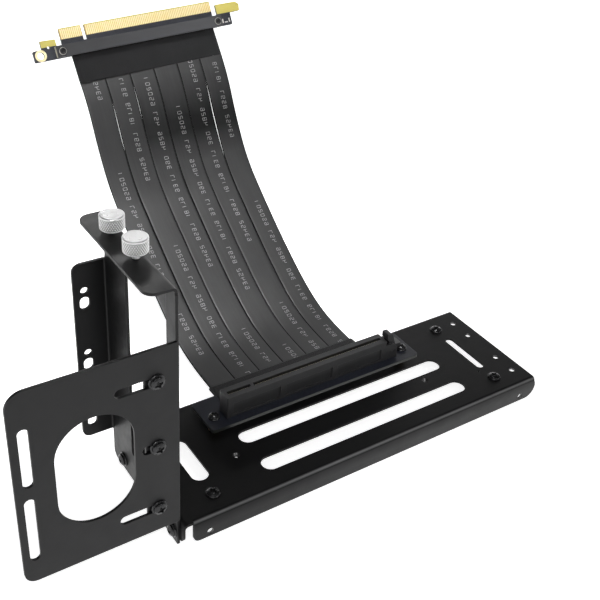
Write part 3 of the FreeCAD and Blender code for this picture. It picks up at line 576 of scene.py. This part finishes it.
# the strips touch edge to edge, but three of the joints part a little:
# joint after strip k: (width in mm, from, to) along the strip
PARTED = {0: (0.20, 0.765, 0.945), 1: (0.22, 0.82, 0.985), 4: (0.30, 0.685, 0.955)}


def parted(k, f):
    """How far the joint after strip k is open at a place along it, in metres."""
    shut = -0.00012
    if k not in PARTED:
        return shut
    w, a, b = PARTED[k]
    if f <= a or f >= b:
        return shut
    t = (f - a) / (b - a)
    return shut + (w / 1000.0 - shut) * math.sin(math.pi * t) ** 0.8


def route_points(k):
    f = k / (RIB_N - 1.0) - 0.5
    n = len(ROUTE)
    pts = []
    for i, (y, z) in enumerate(ROUTE):
        w = max(0.0, (i - 3.0) / (n - 4.0))
        b = math.sin(math.pi * i / (n - 1.0))
        x = RIB_X0 + k * RIB_PITCH + RIB_W / 2 + BOW[k] * b
        pts.append(mm(x, y + f * TWIST_Y * w - 0.5 * LIFT[k] * b, z + f * TWIST_Z * w + 0.8 * LIFT[k] * b))
    return pts


def spline_points(pts, name):
    """Points read from the smooth line through the route."""
    cu = bpy.data.curves.new(name, "CURVE")
    cu.dimensions = "3D"
    sp = cu.splines.new("NURBS")
    sp.points.add(len(pts) - 1)
    for p, q in zip(sp.points, pts):
        p.co = (*q, 1.0)
    sp.order_u = 3
    sp.use_endpoint_u = True
    sp.resolution_u = 16
    o = bpy.data.objects.new(name, cu)
    SC.collection.objects.link(o)
    me = bpy.data.meshes.new_from_object(o)
    line = [v.co.copy() for v in me.vertices]
    bpy.data.meshes.remove(me)
    bpy.data.objects.remove(o)
    bpy.data.curves.remove(cu)
    return line


def ends_of(k):
    p = route_points(k)[-1]
    return p


WRAP_DU = (ends_of(RIB_N - 1) - ends_of(0)).normalized()
ribbon_end_frames = []
for k in range(RIB_N):
    line = spline_points(route_points(k), "route_%d" % (k + 1))
    n = len(line)
    run = [0.0]
    for a, b in zip(line, line[1:]):
        run.append(run[-1] + (b - a).length)
    total = run[-1]
    rings, data = [], []
    hw, ht = RIB_W / 2000.0, RIB_T / 2000.0
    for i, p in enumerate(line):
        t = (line[min(i + 1, n - 1)] - line[max(i - 1, 0)]).normalized()
        f = run[i] / total
        blend = max(0.0, (f - 0.45) / 0.55)
        blend = blend * blend * (3 - 2 * blend)
        w = X.lerp(WRAP_DU, blend)
        w = (w - t * w.dot(t)).normalized()
        nn = w.cross(t).normalized()
        hl = (RIB_PITCH / 2000.0 - parted(k - 1, f) / 2.0) if k > 0 else RIB_W / 2000.0
        hr = (RIB_PITCH / 2000.0 - parted(k, f) / 2.0) if k < RIB_N - 1 else RIB_W / 2000.0
        ring = []
        meta = []
        # front face, from the right edge to the left, then the rounded left edge, the back and the right edge
        seg, cap = 12, 5
        for j in range(seg + 1):
            a = (hr - ht) - (hr + hl - 2 * ht) * j / seg
            crown = 0.05e-3 * (1 - (a / hw) ** 2)
            ring.append(p + w * a + nn * (ht + crown))
            meta.append((run[i], a, 1.0))
        for j in range(1, cap):
            q = math.pi * j / cap
            ring.append(p - w * (hl - ht + ht * math.sin(q)) + nn * ht * math.cos(q))
            meta.append((run[i], -hw, 0.0))
        for j in range(seg + 1):
            a = -(hl - ht) + (hr + hl - 2 * ht) * j / seg
            ring.append(p + w * a - nn * ht)
            meta.append((run[i], a, 0.99))
        for j in range(1, cap):
            q = math.pi * j / cap
            ring.append(p + w * (hr - ht + ht * math.sin(q)) - nn * ht * math.cos(q))
            meta.append((run[i], hw, 0.0))
        rings.append(ring)
        data.append(meta)
    verts, faces = loft(rings)
    o = new_object("ribbon_strip_%d" % (k + 1), verts, faces, jacket("jacket_%d" % (k + 1), k + 1))
    me = o.data
    flat = [d for meta in data for d in meta]
    uv = me.uv_layers.new(name="strip")
    for loop in me.loops:
        d = flat[loop.vertex_index]
        uv.data[loop.index].uv = (d[0], d[1])
    att = me.attributes.new("front", "FLOAT", "POINT")
    att.data.foreach_set("value", [d[2] for d in flat])
    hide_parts("ribbon_%d" % (k + 1))

# ------------------------------------------------------------------ cloth wraps


def rounded_section(hw, ht, seg=24, cap=5, relief=None):
    """A flat section (a, b) with rounded ends; relief(a) lifts both faces."""
    pts = []
    for j in range(seg + 1):
        a = (1 - 2 * j / seg) * (hw - ht)
        pts.append((a, ht + (relief(a) if relief else 0.0)))
    for j in range(1, cap):
        q = math.pi * j / cap
        pts.append((-(hw - ht + ht * math.sin(q)), ht * math.cos(q)))
    for j in range(seg + 1):
        a = (-1 + 2 * j / seg) * (hw - ht)
        pts.append((a, -ht - (relief(a) if relief else 0.0)))
    for j in range(1, cap):
        q = math.pi * j / cap
        pts.append((hw - ht + ht * math.sin(q), -ht * math.cos(q)))
    return pts


def strip_relief(a):
    """The six strips under the tape show as very shallow swells."""
    x = (a * 1000.0 + 40.5) / RIB_PITCH
    fx = x - math.floor(x)
    return 0.10e-3 * min(1.0, math.sin(math.pi * fx) * 2.2)


RIB_X1 = RIB_X0 + (RIB_N - 1) * RIB_PITCH + RIB_W
qa = ends_of(0) + Vector((-(RIB_W / 2 + 0.4) / 1000.0, 0, 0))
qb = ends_of(RIB_N - 1) + Vector(((RIB_W / 2 + 0.4) / 1000.0, 0, 0))
mid = (qa + qb) * 0.5
du = (qb - qa).normalized()
hw0 = (qb - qa).length / 2
w_top = (pl(4.0, -13.5, 0) + pl(85.4, -13.5, 0)) * 0.5
dv = w_top - mid
dv = dv - du * dv.dot(du)
wl = dv.length
dv.normalize()
dn = du.cross(dv)
M_WRAP = woven("cloth_plug", du, dv)
rings = []
steps = [(-1.0e-3, 0.75e-3, 0.0), (-0.9e-3, 0.98e-3, 1.0), (-0.5e-3, 1.02e-3, 1.0)]
NS = 14
for i in range(NS + 1):
    f = i / NS
    steps.append((f * (wl - 0.0002), (1.02 - 0.14 * f) * 1e-3, 1.0 - 0.5 * f))
for along, ht, rel in steps:
    f = max(0.0, along / wl)
    cen = mid + dv * along
    hw = hw0 - 0.00022 - 0.0002 * f
    dd = du.lerp(PU, max(0, f)).normalized()
    nn = dn.lerp(PN, max(0, f)).normalized()
    rings.append([cen + dd * a + nn * b for a, b in rounded_section(hw, ht, 48, 5, lambda a, r=rel: strip_relief(a) * r)])
# on between the two bars
for v, ht in ((-13.4, 0.86), (-12.1, 0.84), (-8.7, 0.83)):
    cen = (pl(4.4, v, 0) + pl(85.0, v, 0)) * 0.5
    rings.append([cen + PU * a + PN * b for a, b in rounded_section(0.0403, ht * 1e-3, 48, 5)])
verts, faces = loft(rings)
wrap_p = new_object("plug_cloth", verts, faces, M_WRAP)
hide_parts("plug_wrap")

M_WRAP2 = woven("cloth_riser", X, Y)
RZ = 17.7 - 0.8
rings = []
for y, ht in ((49.7, 1.3), (49.9, 1.52), (51.0, 1.58), (56.4, 1.56), (59.0, 1.34), (61.6, 1.2), (62.3, 1.12), (62.45, 0.9)):
    rings.append([mm((RIB_X0 + RIB_X1) / 2, y, RZ) + X * a + Z * b for a, b in
                  rounded_section((RIB_X1 - RIB_X0) / 2000.0 + 0.0008, ht * 1e-3, 48, 5, lambda a: strip_relief(a) * 0.3)])
rings = [r[::-1] for r in rings]
verts, faces = loft(rings)
wrap_r = new_object("riser_cloth", verts, faces, M_WRAP2)
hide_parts("riser_wrap")

# ------------------------------------------------------------------ thumbscrews


def tri(x):
    """0 at whole numbers, 1 half way."""
    x = x - math.floor(x)
    return 1.0 - abs(2.0 * x - 1.0)


def thumbscrew(name, node, body, cx, cy, z0, turn):
    """Diamond-knurled head with chamfers, a neck and a cut thread; z0 is the head's underside in mm."""
    teeth, aw = 32, 8
    na = teeth * aw
    verts, faces = [], []
    rows = []

    def ring(r, z, f=None):
        row = []
        for j in range(na):
            a = 2 * math.pi * j / na + turn
            rr = r if f is None else f(j, r, z)
            row.append(len(verts))
            verts.append(mm(cx + rr * math.cos(a), cy + rr * math.sin(a), z0 + z))
        rows.append(row)

    def knurl(j, r, z):
        th = j / aw
        k = (z - 0.6) / 1.55
        g = max(1.0 - tri(th + k + 0.5) * 1.0, 1.0 - tri(th - k + 0.5) * 1.0)
        depth = 0.30 * max(0.0, (g - 0.52) / 0.48)
        fade = min(1.0, (z - 0.45) / 0.25, (5.4 - z) / 0.25)
        return r - depth * max(0.0, fade)

    # from the underside's inner edge round the rim to the middle of the top
    ring(1.5, 0.02)
    ring(4.1, 0.0)
    ring(4.3, 0.02)
    ring(4.72, 0.46)
    nz = 40
    for i in range(nz + 1):
        ring(4.74, 0.5 + 4.9 * i / nz, knurl)
    ring(4.74, 5.52)
    ring(4.71, 5.68)
    ring(4.62, 5.84)
    ring(4.47, 5.95)
    ring(4.3, 6.0)
    ring(4.1, 6.0)
    for r in (3.6, 3.0, 2.2, 1.4, 0.7):
        ring(r, 5.985 if r > 3 else 5.97)
    for a, b in zip(rows, rows[1:]):
        for j in range(na):
            k = (j + 1) % na
            faces.append((a[j], a[k], b[k], b[j]))
    faces.append(tuple(rows[-1]))
    # thread: a helical groove round the shank, M3 by 0.5, down to a chamfered end
    sa = 28
    base = len(verts)
    srows = []
    n = 130
    for i in range(n + 1):
        z = 0.02 - 8.0 * i / n
        row = []
        for j in range(sa):
            a = 2 * math.pi * j / sa
            g = tri(z / 0.5 - j / sa)
            r = 1.22 + 0.22 * g
            r = min(r, 1.12 + max(0.0, (z + 8.0)) * 0.6, 1.44)
            if z > -0.5:
                r = 1.25 + 0.0 * g if z > -0.35 else r
            row.append(len(verts))
            verts.append(mm(cx + r * math.cos(a + turn), cy + r * math.sin(a + turn), z0 + z))
        srows.append(row)
    for a, b in zip(srows, srows[1:]):
        for j in range(sa):
            k = (j + 1) % sa
            faces.append((a[k], a[j], b[j], b[k]))
    faces.append(tuple(srows[-1][::-1]))
    # close the underside between the neck and the head
    faces_gap = []
    inner = srows[0]
    outer = rows[0]
    q = na / sa
    for j in range(sa):
        k = (j + 1) % sa
        seg = [outer[int(round(m_)) % na] for m_ in range(int(round(j * q)), int(round((j + 1) * q)) + 1)]
        faces_gap.append(tuple([inner[j]] + [inner[k]] + seg[::-1]))
    faces += faces_gap
    mat = turned_metal("nickel_" + name, mm(cx, cy, z0))
    o = new_object(name, verts, faces, mat, body=body)
    bm = bmesh.new()
    bm.from_mesh(o.data)
    bmesh.ops.recalc_face_normals(bm, faces=bm.faces)
    bm.to_mesh(o.data)
    bm.free()
    for p in o.data.polygons:
        p.use_smooth = True
    o.data.set_sharp_from_angle(angle=math.radians(38))
    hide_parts(node)
    return o


thumbscrew("thumb_front", "thumbscrew_front", "front_thumbscrew", -3.0, 24.5, 127.0, 0.3)
thumbscrew("thumb_rear", "thumbscrew_rear", "rear_thumbscrew", -3.0, 44.8, 126.0, 1.1)

# ------------------------------------------------------------------ rivets of the plug bars


def lathe(name, prof, origin, ax, side, mat, n=48, slot=None, body="bracket"):
    """Turns a profile (r, h) in mm about ax at origin."""
    up = Vector(ax).normalized()
    a1 = Vector(side)
    a1 = (a1 - up * a1.dot(up)).normalized()
    a2 = up.cross(a1)
    verts, faces, rows = [], [], []
    for r, h in prof:
        row = []
        if r < 1e-6:
            row = [len(verts)]
            verts.append(origin + up * (h / 1000.0))
        else:
            for j in range(n):
                t = 2 * math.pi * j / n
                row.append(len(verts))
                verts.append(origin + up * (h / 1000.0) + (a1 * math.cos(t) + a2 * math.sin(t)) * (r / 1000.0))
        rows.append(row)
    for a, b in zip(rows, rows[1:]):
        for j in range(n):
            k = (j + 1) % n
            if len(a) == 1:
                faces.append((a[0], b[k], b[j]))
            elif len(b) == 1:
                faces.append((a[j], a[k], b[0]))
            else:
                faces.append((a[j], a[k], b[k], b[j]))
    return verts, faces


def merged(name, parts, mat, body="bracket", sharp=38):
    verts, faces = [], []
    for v, f in parts:
        o = len(verts)
        verts += v
        faces += [tuple(i + o for i in q) for q in f]
    ob = new_object(name, verts, faces, mat, body=body)
    bm = bmesh.new()
    bm.from_mesh(ob.data)
    bmesh.ops.recalc_face_normals(bm, faces=bm.faces)
    bm.to_mesh(ob.data)
    bm.free()
    for p in ob.data.polygons:
        p.use_smooth = True
    ob.data.set_sharp_from_angle(angle=math.radians(sharp))
    return ob


rolled = [(0.0, -3.8), (0.9, -3.8), (1.4, -3.78), (1.8, -3.6), (1.92, -3.35), (1.92, -3.22), (1.0, -3.2), (1.0, 3.2), (1.92, 3.22), (1.94, 3.38),
          (1.88, 3.62), (1.7, 3.77), (1.42, 3.8), (1.15, 3.72), (1.0, 3.5), (0.93, 3.3), (0.88, 3.12), (0.0, 3.1)]
rivets = [lathe("r", rolled, pl(u, -10.9, 0), PN, PU, None) for u in (-1.3, 86.6)]


def rivet_mat():
    m = Mat("rivet")
    n = m.noise(900, 3.0, 0.6)
    best = None
    for u in (-1.3, 86.6):
        d = m.vec("SUBTRACT", m.co, tuple(pl(u, -10.9, 0)))
        du_, dv_ = m.dot(d, PU), m.dot(d, PV)
        r = m.math("SQRT", m.math("ADD", m.math("MULTIPLY", du_, du_), m.math("MULTIPLY", dv_, dv_)))
        best = r if best is None else m.math("MINIMUM", best, r)
    ring = m.math("MULTIPLY", m.range(best, 0.00155, 0.0017, 0, 1), 1.0)
    col = m.mix(ring, (0.010, 0.010, 0.011), (0.40, 0.39, 0.36))
    return m.set(color=col, metal=m.math("MULTIPLY", ring, 0.8), rough=m.range(n, 0.3, 0.7, 0.28, 0.42), normal=m.bump(n, 0.00001, 0.5))


o = merged("plug_rivet_pair", rivets, rivet_mat())
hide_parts("plug_rivets")

# ------------------------------------------------------------------ cut threads in the empty tapped holes


def cut_thread(at, ax, side, length, r=1.497, depth=0.24, lead=0.5, n=32):
    """A thin sleeve inside a hole, its inner wall a helical thread; at is the hole's mouth in mm."""
    up = Vector(ax).normalized()
    a1 = Vector(side)
    a2 = up.cross(a1)
    o = mm(*at)
    verts, faces, rows = [], [], []
    steps = max(8, int(length / lead * 8))
    prof = [(-length * i / steps, True) for i in range(steps + 1)]
    for h, inner in prof + [(-length, False), (0.0, False)]:
        row = []
        for j in range(n):
            t = 2 * math.pi * j / n
            if inner:
                rr = r - depth * tri(h / lead - j / n) * min(1.0, -h / 0.2, (length + h) / 0.2)
                rr = min(rr, r - 0.01)
            else:
                rr = r
            row.append(len(verts))
            verts.append(o + up * (h / 1000.0) + (a1 * math.cos(t) + a2 * math.sin(t)) * (rr / 1000.0))
        rows.append(row)
    for i in range(len(rows)):
        a, b = rows[i], rows[(i + 1) % len(rows)]
        for j in range(n):
            k = (j + 1) % n
            faces.append((a[j], a[k], b[k], b[j]))
    return verts, faces


BH_, T_, BY0_, BY1_ = 11.4, 1.2, -2.8, 64.2
threads = [cut_thread((x, y, BH_ - 0.02), Z, X, T_ - 0.04) for x, y in ((192.2, 7.9), (192.2, 19.9), (192.2, 53.5), (192.2, 41.5))]
threads += [cut_thread((x, 22.9, BH_ - 0.02), Z, X, 2.4) for x in (40.3, 147.3)]
threads += [cut_thread((x, BY0_ + 0.02, 2.8), -Y, X, T_ - 0.04) for x in (13.7, 189.6)]
threads += [cut_thread((x, BY1_ - 0.02, 2.8), Y, X, T_ - 0.04) for x in (13.7, 189.6)]
merged("base_threads", threads, cut_steel("cut_steel"))

# ------------------------------------------------------------------ carried nodes
CARRIED = {
    "base_plate": M_BASE, "io_frame": M_FRAME, "case_plate": M_PLATE,
    "base_screws": M_SCREW, "frame_screws": M_SCREW, "case_plate_screws": M_SCREW, "riser_screws": M_SCREW,
    "riser_board": M_RISERBOARD, "riser_socket": M_SOCKET, "riser_contacts": M_GOLD, "riser_latch": M_LATCH,
    "riser_spacers": M_BRASS, "plug_board": M_PLUGBOARD, "plug_contacts": M_GOLD, "plug_eyelet": M_GOLD,
    "plug_cover_front": M_BAR, "plug_cover_rear": M_BAR,
}
for node, mat in CARRIED.items():
    ob = NODES[node]
    ob.data.materials.clear()
    ob.data.materials.append(mat)

# ------------------------------------------------------------------ stage and light
me = bpy.data.meshes.new("floor")
# a wide round floor that curves up into a low rim, so that no horizon shows
sweep = [(0.0, 0.0), (2.5, 0.0), (5.0, 0.0)]
sweep += [(5.0 + math.sin(t), 1.0 - math.cos(t)) for t in (math.radians(9 * k) for k in range(1, 11))]
fv, ff = [(0.0, 0.0, 0.0)], []
SEG = 96
for r_, z_ in sweep[1:]:
    fv += [(r_ * math.cos(2 * math.pi * j / SEG), r_ * math.sin(2 * math.pi * j / SEG), z_) for j in range(SEG)]
for j in range(SEG):
    ff.append((0, 1 + j, 1 + (j + 1) % SEG))
for i in range(len(sweep) - 2):
    for j in range(SEG):
        k_ = (j + 1) % SEG
        ff.append((1 + i * SEG + j, 1 + (i + 1) * SEG + j, 1 + (i + 1) * SEG + k_, 1 + i * SEG + k_))
me.from_pydata(fv, [], ff)
for p_ in me.polygons:
    p_.use_smooth = True
floor = bpy.data.objects.new("floor", me)
SC.collection.objects.link(floor)
fm = Mat("floor_white")
fn = fm.noise(3.0, 2.0, 0.5)
fm.set(color=fm.mix(fm.range(fn, 0.3, 0.7, 0, 1), (0.93, 0.93, 0.935), (0.95, 0.95, 0.95)), rough=0.9, spec=0.1)
# a lit sweep: the floor itself glows, so shadows stay faint
fm.b.inputs["Emission Color"].default_value = (1.0, 1.0, 1.0, 1.0)
fm.b.inputs["Emission Strength"].default_value = 0.86
me.materials.append(fm.m)

world = bpy.data.worlds.new("studio")
SC.world = world
world.use_nodes = True
wt = world.node_tree
bg = wt.nodes["Background"]
bg.inputs[0].default_value = (1.0, 1.0, 1.0, 1)
bg.inputs[1].default_value = 0.06


def area(name, loc, target, size, power, color=(1, 1, 1), sy=None, spread=180.0):
    d = bpy.data.lights.new(name, "AREA")
    d.energy = power
    d.color = color
    d.shape = "RECTANGLE"
    d.size = size
    d.size_y = sy or size
    d.spread = math.radians(spread)
    o = bpy.data.objects.new(name, d)
    SC.collection.objects.link(o)
    o.location = loc
    o.rotation_euler = (Vector(target) - Vector(loc)).to_track_quat("-Z", "Y").to_euler()
    return o


def back_wall(name, low, high, width, power, az=60.0, dist=1.5):
    """A soft panel behind the object, between two heights given as angles above it."""
    a, e = math.radians(az), math.radians((low + high) / 2.0)
    h = 2 * dist * math.tan(math.radians((high - low) / 2.0))
    loc = (dist * math.cos(e) * math.cos(a), dist * math.cos(e) * math.sin(a), 0.06 + dist * math.sin(e))
    area(name, loc, (0, 0, 0.06), width, power, sy=h)


area("key", (-0.9, -1.3, 1.5), (0, 0, 0.05), 1.0, 5.0)
area("front", (0.2, -1.6, 0.8), (0, 0, 0.05), 1.0, 1.5)
area("over_front", (-0.33, -0.68, 1.36), (0, 0, 0.06), 0.9, 2.0)
area("glint", (0.83, -1.22, 0.86), (-0.05, -0.03, 0.04), 0.28, 0.02, spread=14)
area("over_ribbons", (0.05, 0.12, 0.75), (0.02, 0.14, 0.09), 0.22, 0.15, spread=14)
area("over_plug", (-0.25, -0.55, 0.85), (0.02, 0.19, 0.142), 0.3, 0.10, spread=16)
area("over_flange", (0.103, 0.42, 0.382), (-0.072, 0.03, 0.124), 0.17, 0.0046, spread=8)
area("over_plate_edge", (0.043, 0.339, 0.41), (-0.0987, -0.032, 0.105), 0.1, 0.0005, spread=5)
back_wall("wall_low", 4, 18, 2.2, 5.0)
back_wall("wall_mid", 18, 33, 2.2, 2.5)

SC.view_settings.view_transform = "Standard"
SC.view_settings.look = "None"
SC.view_settings.exposure = 0.0
